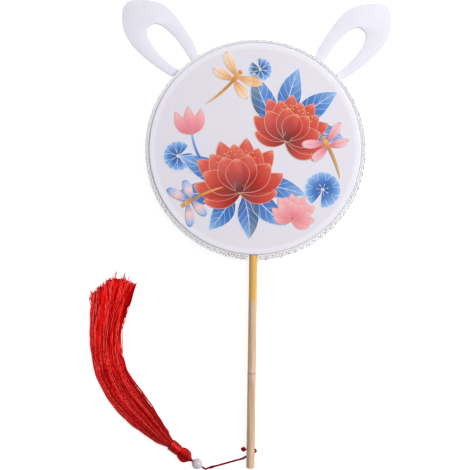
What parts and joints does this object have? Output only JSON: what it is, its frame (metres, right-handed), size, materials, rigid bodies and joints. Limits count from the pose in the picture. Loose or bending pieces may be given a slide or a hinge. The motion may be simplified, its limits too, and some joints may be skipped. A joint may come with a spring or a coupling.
{
  "type": "round hand fan",
  "caption": "Round silk hand fan: a hoop with stretched cloth, loop ears and a lace edge on a bamboo stick, with a corded bead and a long tassel.",
  "frame": {"origin": "centre of the disc on its flat back, on the surface that the fan lies on", "axes": "+Z out of the disc's front, +Y from the disc's centre towards the ears, the handle towards -Y"},
  "size_m": [0.287, 0.447, 0.013],
  "materials": {
    "white_ring": "satin",
    "bamboo": "satin",
    "pale_silk": "sheer, with a slight sheen",
    "white_lace": "matt",
    "ear_sheet": "smooth matt",
    "red_cord": "twisted thread",
    "pearl": "glossy pearl",
    "red_thread": "silky thread"
  },
  "bodies": {
    "fan": {"hoop": "white_ring", "handle": "bamboo", "front_silk": "pale_silk", "back_silk": "pale_silk", "lace_trim": "white_lace", "ear_left": "ear_sheet", "ear_right": "ear_sheet", "cord_wrap": "red_cord", "stopper_knot": "red_cord"},
    "cord": {"tassel_cord": "red_cord", "cord_knot": "red_cord"},
    "bead": {"bead": "pearl"},
    "tassel": {"tassel_head": "red_thread", "tassel_binding": "red_thread", "tassel_skirt": "red_thread"}
  },
  "joints": [
    {"name": "cord_swing", "type": "hinge", "parent": "fan", "child": "cord", "pos_m": [-0.0077, -0.2951, 0.00075], "axis": [0, 0, 1], "range_deg": [-10, 85]},
    {"name": "bead_slide", "type": "slide", "parent": "cord", "child": "bead", "axis": [0.8526, -0.5225, 0], "range_m": [0, 0.003]},
    {"name": "tassel_swing", "type": "hinge", "parent": "cord", "child": "tassel", "pos_m": [-0.0569, -0.2951, 0.0052], "axis": [0, 0, 1], "range_deg": [-5, 60]}
  ]
}
